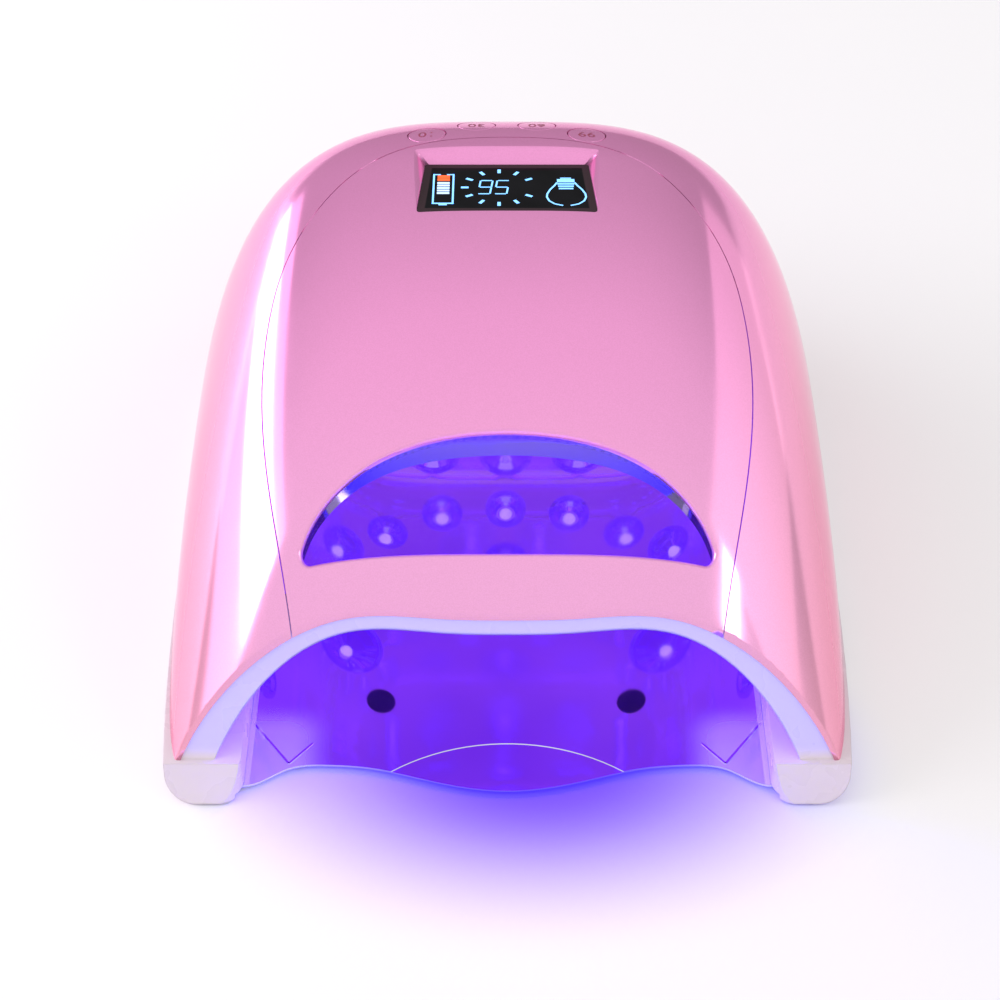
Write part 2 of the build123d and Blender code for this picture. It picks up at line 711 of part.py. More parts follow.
def power_rocker():
    """Seen from the side: a shallow V outside, a rounded back inside, on two pivot stubs."""
    outline = [(2.3, -6.2), (1.4, 0), (2.3, 6.2), (-1.6, 6.0), (-4.2, 2.5), (-4.2, -2.5), (-1.6, -6.0)]
    rocker = yz_prism(outline, 5.6)
    rocker = fillet(rocker.edges().filter_by(Axis.X).group_by(Axis.Y)[-1], 0.6)
    rocker += Rot(0, 90, 0) * Cylinder(1.0, 13.6)
    return Pos(ROCKER_X, 122.2, PANEL_Z) * Rot(-ROCKER_SWING, 0, 0) * rocker


def dc_jack():
    block = rear_box(JACK_X, 9, 11, 112, 121.9)
    barrel = Pos(JACK_X, 120, PANEL_Z) * Rot(90, 0, 0) * Cylinder(4.0, 9.0)
    bore = Pos(JACK_X, 120.5, PANEL_Z) * Rot(90, 0, 0) * Cylinder(2.8, 9.0)
    pin = Pos(JACK_X, 118.5, PANEL_Z) * Rot(90, 0, 0) * Cylinder(1.0, 9.0)
    return (block + barrel) - bore + pin


def make_all():
    os.makedirs("parts", exist_ok=True)
    wall = shell_wall()
    save(front_cover(wall), "front_cover")
    save(outer_shell(wall), "outer_shell")
    for index, spot in enumerate(BUTTONS, start=1):
        save(button(spot), "button_" + str(index))
    makers = [handle_cup, inner_frame, rubber_feet, plate_magnets, shell_screws, base_plate, reflector,
              led_cups, led_lenses, led_emitters, led_star_boards, sensor_windows, sensor_boards,
              window_bezel, window_lens, display_lens, display_module, display_board, button_pad,
              tact_switches, button_board, board_pillars, battery_cells, battery_cradle, main_board,
              board_components, board_screws, display_ribbon, battery_lead, rear_panel, rocker_housing,
              power_rocker, dc_jack]
    for maker in makers:
        save(maker(), maker.__name__)


make_all()
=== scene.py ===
import math

import bmesh
import bpy
from mathutils import Matrix, Vector


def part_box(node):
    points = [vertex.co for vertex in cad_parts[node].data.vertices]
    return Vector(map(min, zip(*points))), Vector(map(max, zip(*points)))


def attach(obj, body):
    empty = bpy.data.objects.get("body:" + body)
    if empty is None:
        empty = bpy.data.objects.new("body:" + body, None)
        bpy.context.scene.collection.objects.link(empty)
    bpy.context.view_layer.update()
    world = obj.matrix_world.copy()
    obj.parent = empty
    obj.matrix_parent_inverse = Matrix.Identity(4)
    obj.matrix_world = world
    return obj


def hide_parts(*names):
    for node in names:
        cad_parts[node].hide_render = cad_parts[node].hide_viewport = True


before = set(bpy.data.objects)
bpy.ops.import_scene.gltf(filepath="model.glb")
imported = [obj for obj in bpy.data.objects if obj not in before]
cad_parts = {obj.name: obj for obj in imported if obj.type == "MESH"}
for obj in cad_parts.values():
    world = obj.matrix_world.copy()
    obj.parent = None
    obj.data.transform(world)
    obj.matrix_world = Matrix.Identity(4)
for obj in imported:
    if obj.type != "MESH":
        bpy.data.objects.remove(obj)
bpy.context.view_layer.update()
MM = 0.001

# --- The body's own formula, in metres, as the CAD model has it ------------------------------------
BODY_HALF_W = 0.111
BODY_HEIGHT = 0.122
BODY_P, BODY_Q = 3.4, 2.0
BACK_POLE_Y = 0.1285
WIDEST_Y = 0.014
CROWN_Y = 0.048
NOSE_Y = -0.114
NOSE_HEIGHT = 0.0465
NOSE_CURVE = 2.6
FRONT_TAPER = 0.035
BACK_CURVE_PLAN = 3.3
BACK_CURVE_SIDE = 2.55
THINNEST = 1e-4                 # half width and height where the body closes at the back


def body_half_width(y):
    if y <= WIDEST_Y:
        return BODY_HALF_W * (1 - FRONT_TAPER * ((WIDEST_Y - y) / (WIDEST_Y - NOSE_Y)) ** 3)
    reach = min(1.0, (y - WIDEST_Y) / (BACK_POLE_Y - WIDEST_Y))
    return max(THINNEST, BODY_HALF_W * (1 - reach ** BACK_CURVE_PLAN) ** (1 / BACK_CURVE_PLAN))


def body_height(y):
    if y <= CROWN_Y:
        drop = (BODY_HEIGHT - NOSE_HEIGHT) * ((CROWN_Y - y) / (CROWN_Y - NOSE_Y)) ** NOSE_CURVE
        return BODY_HEIGHT - drop
    reach = min(1.0, (y - CROWN_Y) / (BACK_POLE_Y - CROWN_Y))
    return max(THINNEST, BODY_HEIGHT * (1 - reach ** BACK_CURVE_SIDE) ** (1 / BACK_CURVE_SIDE))


def body_level(x, y, z):
    """Zero on the body's surface, above zero outside it."""
    return abs(x / body_half_width(y)) ** BODY_P + (max(z, 0.0) / body_height(y)) ** BODY_Q - 1


def body_gradient(place):
    """How fast the level rises along x, y and z, by small steps to either side."""
    step = 2e-5
    x, y, z = place
    along_x = body_level(x + step, y, z) - body_level(x - step, y, z)
    along_y = body_level(x, y + step, z) - body_level(x, y - step, z)
    along_z = body_level(x, y, z + step) - body_level(x, y, z - step)
    return Vector((along_x, along_y, along_z)) / (2 * step)


def body_z(x, y):
    """Height of the body's surface above a spot."""
    return body_height(y) * (1 - abs(x / body_half_width(y)) ** BODY_P) ** (1 / BODY_Q)


# --- Materials -------------------------------------------------------------------------------------
class Nodes:
    """A material and short calls for its nodes."""

    def __init__(self, name):
        self.material = bpy.data.materials.new(name)
        self.material.use_nodes = True
        self.tree = self.material.node_tree
        self.shader = self.tree.nodes["Principled BSDF"]
        self.place = self.tree.nodes.new("ShaderNodeTexCoord").outputs["Object"]

    def add(self, kind, **settings):
        node = self.tree.nodes.new(kind)
        for key, value in settings.items():
            setattr(node, key, value)
        return node

    def link(self, a, b):
        self.tree.links.new(a, b)

    def noise(self, scale, detail=2.0, stretch=(1, 1, 1)):
        spread = self.add("ShaderNodeMapping")
        spread.inputs["Scale"].default_value = stretch
        self.link(self.place, spread.inputs["Vector"])
        node = self.add("ShaderNodeTexNoise")
        node.inputs["Scale"].default_value = scale
        node.inputs["Detail"].default_value = detail
        self.link(spread.outputs["Vector"], node.inputs["Vector"])
        return node.outputs["Fac"]

    def ramp(self, source, stops):
        node = self.add("ShaderNodeValToRGB")
        elements = node.color_ramp.elements
        while len(elements) < len(stops):
            elements.new(0.5)
        for element, (spot, colour) in zip(elements, stops):
            element.position = spot
            element.color = (*colour, 1)
        self.link(source, node.inputs["Fac"])
        return node.outputs["Color"]

    def range(self, source, low, high, to_low=0.0, to_high=1.0):
        node = self.add("ShaderNodeMapRange", interpolation_type="SMOOTHSTEP")
        for key, value in (("From Min", low), ("From Max", high), ("To Min", to_low), ("To Max", to_high)):
            node.inputs[key].default_value = value
        self.link(source, node.inputs["Value"])
        return node.outputs["Result"]

    def mix(self, factor, a, b, blend="MIX"):
        node = self.add("ShaderNodeMix", data_type="RGBA", blend_type=blend)
        for key, value in ((0, factor), (6, a), (7, b)):
            if isinstance(value, bpy.types.NodeSocket):
                self.link(value, node.inputs[key])
            elif key:
                node.inputs[key].default_value = (*value, 1)
            else:
                node.inputs[key].default_value = value
        return node.outputs[2]

    def math(self, operation, a, b=0.0):
        node = self.add("ShaderNodeMath", operation=operation)
        for key, value in ((0, a), (1, b)):
            if isinstance(value, bpy.types.NodeSocket):
                self.link(value, node.inputs[key])
            else:
                node.inputs[key].default_value = value
        return node.outputs[0]

    def axes(self):
        node = self.add("ShaderNodeSeparateXYZ")
        self.link(self.place, node.inputs[0])
        return node.outputs

    def set(self, **values):
        for key, value in values.items():
            socket = self.shader.inputs[key.replace("_", " ")]
            if isinstance(value, bpy.types.NodeSocket):
                self.link(value, socket)
            elif isinstance(value, tuple) and len(value) == 3:
                socket.default_value = (*value, 1)
            else:
                socket.default_value = value
        return self

    def bump(self, height, strength, distance, round_edges=0.0):
        node = self.add("ShaderNodeBump")
        node.inputs["Strength"].default_value = strength
        node.inputs["Distance"].default_value = distance
        self.link(height, node.inputs["Height"])
        if round_edges:
            bevel = self.add("ShaderNodeBevel", samples=4)
            bevel.inputs["Radius"].default_value = round_edges
            self.link(bevel.outputs["Normal"], node.inputs["Normal"])
        self.link(node.outputs["Normal"], self.shader.inputs["Normal"])
        return self


def pearl_pink():
    """Pearl lacquer on pink plastic: salmon on the flanks as a painted sheen for the pearl's colour shift
    with viewing angle, fine flakes, clear coat.
    """
    m = Nodes("pearl_pink")
    x, y, z = m.axes()[0:3]
    # Painted sheen: the salmon on the flanks stands in for the pearl's colour shift with viewing angle; the
    # colour also runs deeper pink towards the crown.
    flank = m.range(m.math("ABSOLUTE", x), 0.070, 0.108)
    crown = m.range(z, 0.060, 0.122)
    colour = m.mix(crown, (0.91, 0.44, 0.72), (0.93, 0.37, 0.69))
    colour = m.mix(flank, colour, (0.95, 0.42, 0.55))
    flakes = m.ramp(m.noise(2600, 1.0), [(0.35, (0.95, 0.95, 0.95)), (0.65, (1.03, 1.02, 1.03))])
    colour = m.mix(1.0, colour, flakes, "MULTIPLY")
    rough = m.range(m.noise(30, 3.0), 0.3, 0.7, 0.10, 0.14)
    m.set(Base_Color=colour, Metallic=0.62, Roughness=rough, Specular_Tint=(1.0, 0.62, 0.78))
    m.set(Coat_Weight=0.25, Coat_Roughness=0.02, Coat_IOR=1.4, Coat_Tint=(1.0, 0.86, 0.93))
    return m.bump(m.noise(45, 2.0), 0.03, 0.0004).material


def satin_white():
    """White moulding; on the lip round the hand opening the violet light from behind is painted in, as
    lavender colour and a faint glow.
    """
    m = Nodes("satin_white")
    y, z = m.axes()[1:3]
    white = m.ramp(m.noise(25, 4.0), [(0.3, (0.72, 0.63, 0.69)), (0.7, (0.75, 0.66, 0.72))])
    # Painted light: the lip mask tints the lip lavender and makes it glow faintly, standing in for the
    # violet light behind it.
    lip = m.math("MULTIPLY", m.range(z, 0.0135, 0.0185), m.range(y, -0.088, -0.096))
    m.set(Base_Color=m.mix(lip, white, (0.60, 0.55, 0.93)), Subsurface_Weight=0.08)
    m.set(Roughness=m.range(m.noise(60, 3.0), 0.3, 0.7, 0.24, 0.34))
    m.set(Emission_Color=(0.20, 0.14, 1.0), Emission_Strength=m.math("MULTIPLY", lip, 0.10))
    m.shader.inputs["Subsurface Radius"].default_value = (0.002, 0.0015, 0.002)
    return m.bump(m.noise(900, 2.0), 0.08, 0.0001, 0.0007).material


def chrome(name, tint, glow):
    """Plated plastic with the slight waviness of a moulding; glow is violet light painted in as emission.
    """
    m = Nodes(name)
    colour = m.ramp(m.noise(18, 3.0), [(0.3, tuple(0.93 * c for c in tint)), (0.7, tint)])
    rough = m.range(m.noise(40, 4.0), 0.3, 0.7, 0.03, 0.10)
    m.set(Base_Color=colour, Metallic=1.0, Roughness=rough)
    # Painted light: the glow makes the plating shine violet though it is no lamp.
    if glow:
        spread = m.ramp(m.noise(14, 2.0), [(0.3, (0.15, 0.018, 0.85)), (0.7, (0.22, 0.035, 1.0))])
        m.set(Emission_Color=spread, Emission_Strength=glow)
    return m.bump(m.noise(55, 2.0), 0.04, 0.0006).material


def liner_chrome():
    """The chamber's plated lining, with its violet light painted in: violet colour and glow inside, paler
    and dimmer towards the sides of the hand opening.
    """
    m = Nodes("liner_chrome")
    x, y = m.axes()[0:2]
    side = m.range(m.math("ABSOLUTE", x), 0.066, 0.084)
    outer = m.math("MULTIPLY", side, m.range(y, -0.070, -0.100))
    # Painted light: the violet colour and the emission stand in for the violet light the lining reflects.
    violet = m.ramp(m.noise(18, 3.0), [(0.3, (0.18, 0.07, 0.48)), (0.7, (0.22, 0.09, 0.56))])
    m.set(Base_Color=m.mix(outer, violet, (0.66, 0.58, 0.86)), Metallic=1.0)
    m.set(Roughness=m.range(m.noise(40, 4.0), 0.3, 0.7, 0.03, 0.10))
    spread = m.ramp(m.noise(14, 2.0), [(0.3, (0.24, 0.042, 0.78)), (0.7, (0.33, 0.068, 0.92))])
    m.set(Emission_Color=spread, Emission_Strength=m.range(outer, 0.0, 1.0, 0.66, 0.06))
    return m.bump(m.noise(55, 2.0), 0.04, 0.0006).material


def clear_window():
    """Clear lens of the half-moon window, with a trace of haze."""
    m = Nodes("clear_window")
    haze = m.range(m.noise(60, 4.0), 0.35, 0.75, 0.01, 0.05)
    m.set(Base_Color=(0.12, 0.06, 0.30), Roughness=haze, Alpha=0.05, Specular_IOR_Level=0.15)
    return m.material


def plate_mirror():
    """Mirror sheet, faintly hazed at its front corners where it catches the light outside."""
    m = Nodes("plate_mirror")
    x, y = m.axes()[0:2]
    corner = m.math("MULTIPLY", m.range(m.math("ABSOLUTE", x), 0.052, 0.072), m.range(y, -0.082, -0.100))
    tint = m.ramp(m.noise(18, 3.0), [(0.3, (0.80, 0.79, 0.88)), (0.7, (0.86, 0.85, 0.93))])
    m.set(Base_Color=tint, Metallic=m.range(corner, 0.0, 1.0, 1.0, 0.62))
    m.set(Roughness=m.range(m.noise(40, 4.0), 0.3, 0.7, 0.02, 0.06))
    return m.bump(m.noise(55, 2.0), 0.01, 0.0006).material


def display_frame(m, x, y):
    """One on the printed border of the display, zero on its dark middle."""
    side = m.math("ADD", m.math("ABSOLUTE", x), m.math("MULTIPLY", y, 0.06))
    ends = m.math("MAXIMUM", m.range(y, 0.0520, 0.0526), m.range(y, 0.0248, 0.0242))
    return m.math("MAXIMUM", m.range(side, 0.0280, 0.0286), ends)


def black_glass():
    """Display lens: black, with a dark brown printed border."""
    m = Nodes("black_glass")
    x, y = m.axes()[0:2]
    rim = display_frame(m, x, y)
    dust = m.ramp(m.noise(90, 4.0), [(0.4, (0.003, 0.003, 0.004)), (0.7, (0.006, 0.006, 0.008))])
    m.set(Base_Color=m.mix(rim, dust, (0.045, 0.026, 0.032)), Specular_IOR_Level=0.06)
    m.set(Roughness=m.range(m.noise(70), 0.3, 0.7, 0.04, 0.09))
    return m.material


def glow(name, colour, strength, unevenness=0.12):
    """Light from behind, slightly uneven."""
    m = Nodes(name)
    low = tuple(c * (1 - unevenness) for c in colour)
    shade = m.ramp(m.noise(350, 2.0), [(0.35, low), (0.65, colour)])
    m.set(Base_Color=shade, Roughness=0.4, Emission_Color=shade, Emission_Strength=strength)
    return m.material


def moulded(name, colour, rough=0.45, grain=1500, depth=0.15):
    """Textured moulded plastic or rubber."""
    m = Nodes(name)
    dark = tuple(c * 0.85 for c in colour)
    shade = m.ramp(m.noise(35, 4.0), [(0.3, dark), (0.7, colour)])
    m.set(Base_Color=shade, Roughness=m.range(m.noise(80, 3.0), 0.3, 0.7, rough - 0.06, rough + 0.08))
    return m.bump(m.noise(grain, 2.0), depth, 0.0001, 0.0003).material


def metal(name, colour, rough=0.3):
    """Brushed or turned metal."""
    m = Nodes(name)
    dark = tuple(c * 0.8 for c in colour)
    shade = m.ramp(m.noise(220, 3.0, (1, 8, 1)), [(0.3, dark), (0.7, colour)])
    polish = m.range(m.noise(120, 3.0), 0.3, 0.7, rough - 0.08, rough + 0.1)
    m.set(Base_Color=shade, Metallic=1.0, Roughness=polish)
    return m.bump(m.noise(900, 2.0, (1, 12, 1)), 0.1, 0.0001, 0.0002).material


def solder_mask():
    """Circuit board green."""
    m = Nodes("solder_mask")
    greens = [(0.42, (0.02, 0.13, 0.06)), (0.5, (0.03, 0.20, 0.09)), (0.58, (0.04, 0.26, 0.12))]
    shade = m.ramp(m.noise(160, 3.0), greens)
    m.set(Base_Color=shade, Roughness=0.32)
    return m.bump(m.noise(160, 3.0), 0.2, 0.0002).material


# --- Pieces ----------------------------------------------------------------------------------------
SHARP_ANGLE = math.radians(38)
ON_BODY = 0.12 * MM             # how near the body's surface a vertex takes the exact normal
FACES_OUT = 0.82                # and how well its face has to agree with that normal


def new_piece(name, mesh, body, material):
    piece = bpy.data.objects.new(name, mesh)
    bpy.context.scene.collection.objects.link(piece)
    mesh.materials.clear()
    mesh.materials.append(material)
    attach(piece, body)
    return piece


def lacquered_copy(node, body, material):
    """The CAD shape with its outside shaded by the body's exact normals, so that reflections run clean."""
    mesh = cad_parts[node].data.copy()
    work = bmesh.new()
    work.from_mesh(mesh)
    bmesh.ops.remove_doubles(work, verts=work.verts, dist=1e-6)
    work.to_mesh(mesh)
    work.free()
    mesh.polygons.foreach_set("use_smooth", [True] * len(mesh.polygons))
    mesh.set_sharp_from_angle(angle=SHARP_ANGLE)
    exact = {}
    for vertex in mesh.vertices:
        slope = body_gradient(vertex.co)
        if slope.length > 0 and abs(body_level(*vertex.co) / slope.length) < ON_BODY:
            exact[vertex.index] = slope.normalized()
    normals = [Vector(corner.vector) for corner in mesh.corner_normals]
    for face in mesh.polygons:
        for corner in face.loop_indices:
            normal = exact.get(mesh.loops[corner].vertex_index)
            if normal is not None and normal.dot(face.normal) > FACES_OUT:
                normals[corner] = normal
    mesh.normals_split_custom_set(normals)
    piece = new_piece(node + "_lacquered", mesh, body, material)
    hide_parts(node)
    return piece


def paint(material, *nodes):
    """Gives CAD nodes that stay as they are their material."""
    for node in nodes:
        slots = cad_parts[node].data.materials
        slots.clear()
        slots.append(material)


def flat_mesh(name, faces, thickness, place):
    """A thin solid from flat outlines, set in place by a function of u, v and lift."""
    work = bmesh.new()
    for outline in faces:
        top = [work.verts.new(place(u, v, thickness)) for u, v in outline]
        low = [work.verts.new(place(u, v, 0.0)) for u, v in outline]
        work.faces.new(top)
        work.faces.new(list(reversed(low)))
        for index in range(len(top)):
            after = (index + 1) % len(top)
            work.faces.new([top[after], top[index], low[index], low[after]])
    bmesh.ops.recalc_face_normals(work, faces=work.faces)
    mesh = bpy.data.meshes.new(name)
    work.to_mesh(mesh)
    work.free()
    return mesh


def bar(u_low, u_high, v_low, v_high):
    """A rectangle along u and v."""
    return [(u_low, v_low), (u_high, v_low), (u_high, v_high), (u_low, v_high)]


def stroke(a, b, width):
    """A straight bar from a to b."""
    along = (Vector(b) - Vector(a)).normalized() * width / 2
    side = Vector((-along.y, along.x))
    corners = [Vector(a) - side, Vector(b) - side, Vector(b) + side, Vector(a) + side]
    return [tuple(corner) for corner in corners]


# The display's plane: origin at the middle of its front edge, tilted down towards the back.
DISPLAY_ORIGIN = Vector((0, 22.0, 120.9)) * MM
DISPLAY_TILT = math.radians(5.8)
PRINT_LIFT = 0.02               # mm between a print and what it is printed on
PRINT_THICKNESS = 0.05


def on_display(u, v, lift):
    """The place on the display at u to the right and v back from its front edge, in mm."""
    along = Vector((0, math.cos(DISPLAY_TILT), -math.sin(DISPLAY_TILT)))
    out = Vector((0, math.sin(DISPLAY_TILT), math.cos(DISPLAY_TILT)))
    return DISPLAY_ORIGIN + MM * (Vector((u, 0, 0)) + along * v + out * (lift + PRINT_LIFT))


def display_piece(name, faces, material):
    mesh = flat_mesh(name, faces, PRINT_THICKNESS, on_display)
    return new_piece(name, mesh, "housing", material)


# Seven-segment figures: where each stroke runs, in columns and rows, and which strokes a figure lights.
SEGMENTS = {"a": ((0, 2), (1, 2)), "b": ((1, 1), (1, 2)), "c": ((1, 0), (1, 1)), "d": ((0, 0), (1, 0)),
            "e": ((0, 0), (0, 1)), "f": ((0, 1), (0, 2)), "g": ((0, 1), (1, 1))}
LIT = {"5": "afgcd", "6": "afgcde"}


def digit_strokes(digit, corner, size, width, slant=0.10):
    """Seven-segment strokes, read from the back of the lamp."""
    faces = []
    for key in LIT[digit]:
        ends = []
        for column, row in SEGMENTS[key]:
            u = column * size[0] + slant * row * size[1]
            ends.append((corner[0] - u, corner[1] - row * size[1]))
        a, b = Vector(ends[0]), Vector(ends[1])
        gap = (b - a).normalized() * width * 0.35
        faces.append(stroke(tuple(a + gap), tuple(b - gap), width))
    return faces


def battery(blue, pale, orange):
    """Battery case with five pale bars and two orange ones."""
    left, right, low, high = -24.6, -17.5, 5.3, 25.9
    case = [bar(left, left + 0.6, low, high), bar(right - 0.6, right, low, high),
            bar(left, right, low, low + 0.7), bar(left + 2.2, right - 2.2, low - 0.9, low - 0.1),
            bar(left, left + 2.5, high - 0.6, high), bar(right - 2.5, right, high - 0.6, high)]
    display_piece("battery_outline", case, blue)
    inset = 1.5
    bars = [bar(left + inset, right - inset, 12.1 + 1.75 * step, 13.3 + 1.75 * step) for step in range(5)]
    display_piece("battery_charge", bars, pale)
    bars = [bar(left + inset, right - inset, 21.2 + 2.1 * step, 23.0 + 2.1 * step) for step in range(2)]
    display_piece("battery_reserve", bars, orange)


def countdown(blue):
    """Eleven ticks on a ring round the count."""
    middle = Vector((-2.6, 16.6))
    inner, outer = 10.1, 12.6
    ticks = []
    for step in range(1, 12):
        turn = math.radians(30 * step)
        direction = Vector((math.cos(turn), math.sin(turn)))
        ticks.append(stroke(tuple(middle + direction * inner), tuple(middle + direction * outer), 1.1))
    display_piece("countdown_ring", ticks, blue)
    size, top, width = (4.0, 4.6), 21.4, 0.55
    count = digit_strokes("5", (0.8, top), size, width) + digit_strokes("6", (-4.7, top), size, width)
    display_piece("countdown_digits", count, blue)


# The left half of the bulb's outline, its axis, and its cap as bars: half width, front and back edge.
BULB = [(16.6, 20.0), (15.7, 17.8), (14.3, 15.2), (13.3, 12.3), (13.1, 10.0), (13.8, 7.4), (15.6, 5.3),
        (18.3, 4.2)]
BULB_AXIS_U = 19.55
BULB_CAP = [(2.4, 15.4, 16.3), (2.6, 17.0, 17.9), (2.8, 18.6, 19.5), (2.9, 20.2, 22.4), (1.8, 22.7, 23.4)]


def lamp_symbol(blue):
    """A bulb drawn as an outline with a ribbed cap."""
    bulb = []
    for start, end in zip(BULB, BULB[1:]):
        bulb.append(stroke(start, end, 0.6))
        bulb.append(stroke((2 * BULB_AXIS_U - end[0], end[1]), (2 * BULB_AXIS_U - start[0], start[1]), 0.6))
    for half_width, low_v, high_v in BULB_CAP:
        bulb.append(bar(BULB_AXIS_U - half_width, BULB_AXIS_U + half_width, low_v, high_v))
    display_piece("lamp_symbol", bulb, blue)


def display_graphics():
    """Battery, countdown ring, count and lamp symbol, turned to the operator behind the lamp."""
    blue = glow("display_blue", (0.20, 0.52, 1.0), 1.35)
    pale = glow("display_pale", (0.50, 0.70, 1.0), 1.0)
    orange = glow("display_orange", (0.80, 0.11, 0.02), 1.1)
    battery(blue, pale, orange)
    countdown(blue)
    lamp_symbol(blue)


# The buttons, left to right from the hand opening, and the seconds printed on them.
BUTTONS = [(-27.3, 70.4, "10"), (-10.4, 79.3, "30"), (10.4, 79.3, "60"), (27.3, 70.4, "99")]


LABEL_SIZE = 6.2
LABEL_HALF_DEPTH = 0.02


def label_mesh(label):
    """A flat mesh of a label, centred on its origin."""
    curve = bpy.data.curves.new("label", "FONT")
    curve.body = label
    curve.size = LABEL_SIZE * MM
    curve.align_x = "CENTER"
    curve.align_y = "CENTER"
    curve.extrude = LABEL_HALF_DEPTH * MM
    text = bpy.data.objects.new("label", curve)
    bpy.context.scene.collection.objects.link(text)
    bpy.context.view_layer.update()
    mesh = bpy.data.meshes.new_from_object(text.evaluated_get(bpy.context.evaluated_depsgraph_get()))
    bpy.data.objects.remove(text)
    return mesh


def button_prints():
    """Seconds printed on each button, read from the back, laid on the button's own curved top."""
    ink = moulded("label_ink", (0.36, 0.03, 0.10), 0.4)
    for number, (x, y, label) in enumerate(BUTTONS, start=1):
        mesh = label_mesh(label)
        for vertex in mesh.vertices:
            u, v, lift = vertex.co
            spot_x, spot_y = x * MM - u, y * MM - v
            vertex.co = (spot_x, spot_y, body_z(spot_x, spot_y) + lift + PRINT_LIFT * MM)
        mesh.name = "button_print_" + str(number)
        new_piece(mesh.name, mesh, "button_" + str(number), ink)


# The V mark on the right of the base plate, in mm.
CREASE = [(81.5, -93.5), (69.0, -110.5), (62.0, -102.0)]
CREASE_WIDTH = 0.7
CREASE_HEIGHT = 0.15


def plate_creases():
    """The pressed V marks near the front corners of the base plate, as fine raised ribs."""
    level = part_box("base_plate")[1][2]

    def on_plate(u, v, lift):
        return Vector((u * MM, v * MM, level + lift * MM))

    shine = chrome("crease_shine", (0.9, 0.88, 0.95), 0.0)
    for side, name in ((-1, "plate_crease_left"), (1, "plate_crease_right")):
        spots = [(side * u, v) for u, v in CREASE]
        faces = [stroke(spots[0], spots[1], CREASE_WIDTH), stroke(spots[1], spots[2], CREASE_WIDTH)]
        mesh = flat_mesh(name, faces, CREASE_HEIGHT, on_plate)
        new_piece(name, mesh, "plate", shine)


# --- Stage -----------------------------------------------------------------------------------------
# The pool of violet light painted on the table: its middle and its half width and half depth, in metres.
GLOW_MIDDLE = (0.009, -0.108)
GLOW_HALF = (0.114, 0.075)


def floor_white():
    """White table top, with the violet light that falls out of the hand opening painted in as a pool of
    violet colour and glow.
    """
    m = Nodes("floor_white")
    x, y = m.axes()[0:2]
    white = m.ramp(m.noise(3, 2.0), [(0.3, (0.95, 0.95, 0.955)), (0.7, (0.97, 0.97, 0.97))])
    squares = []
    for axis, middle, half in zip((x, y), GLOW_MIDDLE, GLOW_HALF):
        squares.append(m.math("POWER", m.math("DIVIDE", m.math("SUBTRACT", axis, middle), half), 2.0))
    reach = m.math("SQRT", m.math("ADD", *squares))
    near = m.range(reach, 0.15, 1.05, 1.0, 0.0)
    # Painted light: violet colour and emission in a pool in front of the hand opening.
    m.set(Base_Color=m.mix(near, white, (0.10, 0.06, 1.0)), Roughness=0.6)
    m.set(Emission_Color=(0.12, 0.05, 1.0), Emission_Strength=m.math("MULTIPLY", near, 0.45))
    return m.material


def add_stage():
    bpy.ops.mesh.primitive_plane_add(size=8, location=(0, 0, 0))
    floor = bpy.context.object
    floor.name = "floor"
    floor.data.materials.append(floor_white())


def add_light(name, place, target, size, power, colour):
    """A rectangular area light aimed at a target."""
    light = bpy.data.lights.new(name, "AREA")
    light.shape = "RECTANGLE"
    light.size, light.size_y = size
    light.energy = power
    light.color = colour
    holder = bpy.data.objects.new(name, light)
    holder.location = place
    holder.rotation_euler = (Vector(target) - Vector(place)).to_track_quat("-Z", "Y").to_euler()
    bpy.context.scene.collection.objects.link(holder)
    return holder


# The dome that the lamp mirrors: its brightest direction, and shades from the far side to that one.
DOME_AIM = (0, -0.62, 0.78)
DOME_SHADES = [(0.0, 0.30), (0.35, 0.38), (0.55, 0.62), (0.78, 0.88), (1.0, 1.0)]
DOME_STRENGTH = 0.95


def shade_dome(tree, dome):
    """Fades the dome's light from its brightest direction to the far side."""
    aim = tree.nodes.new("ShaderNodeVectorMath")
    aim.operation = "DOT_PRODUCT"
    aim.inputs[1].default_value = DOME_AIM
    tree.links.new(tree.nodes.new("ShaderNodeTexCoord").outputs["Generated"], aim.inputs[0])
    spread = tree.nodes.new("ShaderNodeMapRange")
    spread.inputs["From Min"].default_value = -1.0
    tree.links.new(aim.outputs["Value"], spread.inputs["Value"])
    ramp = tree.nodes.new("ShaderNodeValToRGB")
    elements = ramp.color_ramp.elements
    while len(elements) < len(DOME_SHADES):
        elements.new(0.5)
    for element, (spot, shade) in zip(elements, DOME_SHADES):
        element.position = spot
        element.color = (shade, shade, shade, 1)
    tree.links.new(spread.outputs["Result"], ramp.inputs["Fac"])
    tree.links.new(ramp.outputs["Color"], dome.inputs["Color"])
    dome.inputs["Strength"].default_value = DOME_STRENGTH


def studio_world():
    """White behind the lamp for the camera; what the lamp mirrors is a soft dome."""
    world = bpy.data.worlds.new("studio")
    world.use_nodes = True
    tree = world.node_tree
    dome = tree.nodes["Background"]
    shade_dome(tree, dome)
    plain = tree.nodes.new("ShaderNodeBackground")
    plain.inputs["Color"].default_value = (1, 1, 1, 1)
    choose = tree.nodes.new("ShaderNodeMixShader")
    seen = tree.nodes.new("ShaderNodeLightPath").outputs["Is Camera Ray"]
    tree.links.new(seen, choose.inputs[0])
    tree.links.new(dome.outputs[0], choose.inputs[1])
    tree.links.new(plain.outputs[0], choose.inputs[2])
    tree.links.new(choose.outputs[0], tree.nodes["World Output"].inputs["Surface"])
    bpy.context.scene.world = world


LAMP_MIDDLE = Vector((0, -0.03, 0.08))
